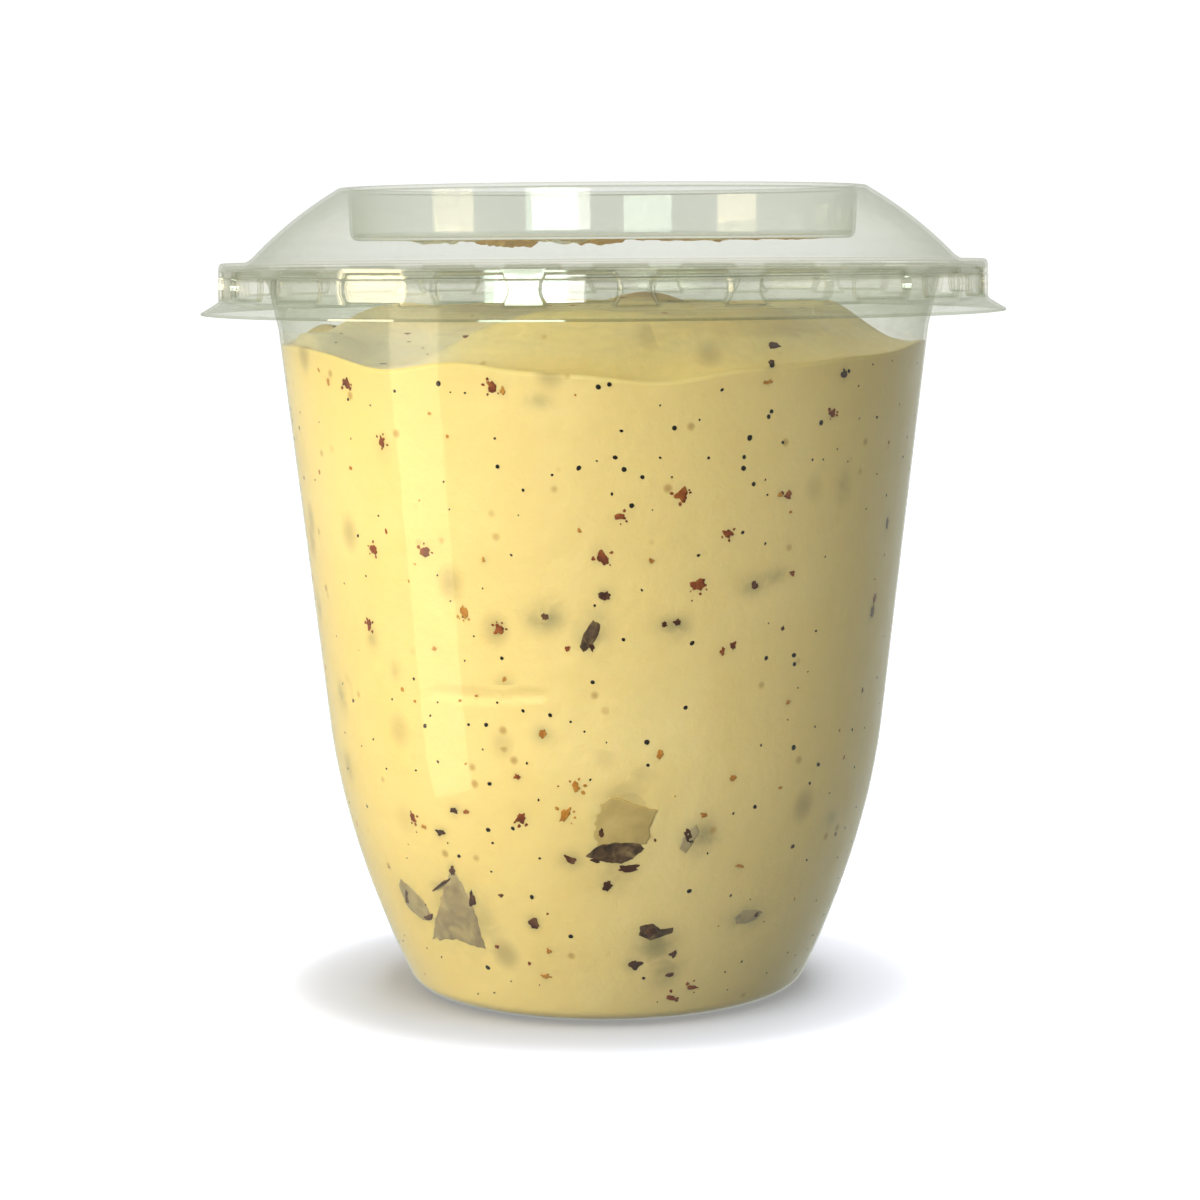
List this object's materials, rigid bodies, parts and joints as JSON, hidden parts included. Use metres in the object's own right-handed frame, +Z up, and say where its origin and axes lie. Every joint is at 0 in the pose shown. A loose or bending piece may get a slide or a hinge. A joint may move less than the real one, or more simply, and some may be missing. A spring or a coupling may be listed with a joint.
{
  "type": "gelato cup",
  "caption": "Clear round-bowled dessert cup filled with speckled cream gelato and closed by a clear press-fit lid with a stacking well.",
  "frame": {"origin": "centre of the cup's flat foot, on the surface it stands on", "axes": "+Z up along the cup's axis of revolution, -Y is the front of the cup"},
  "size_m": [0.1012, 0.1012, 0.1015],
  "materials": {
    "cup_plastic": "clear, thin, glossy, very slightly green-grey",
    "gelato": "smooth pale yellow frozen cream with dark seeds, brown flecks and fruit pieces",
    "lid_plastic": "clear, thin, glossy, very slightly green-grey, with smears of cream under the well"
  },
  "bodies": {
    "root": {"cup": "cup_plastic", "gelato": "gelato", "lid": "lid_plastic"}
  },
  "joints": []
}
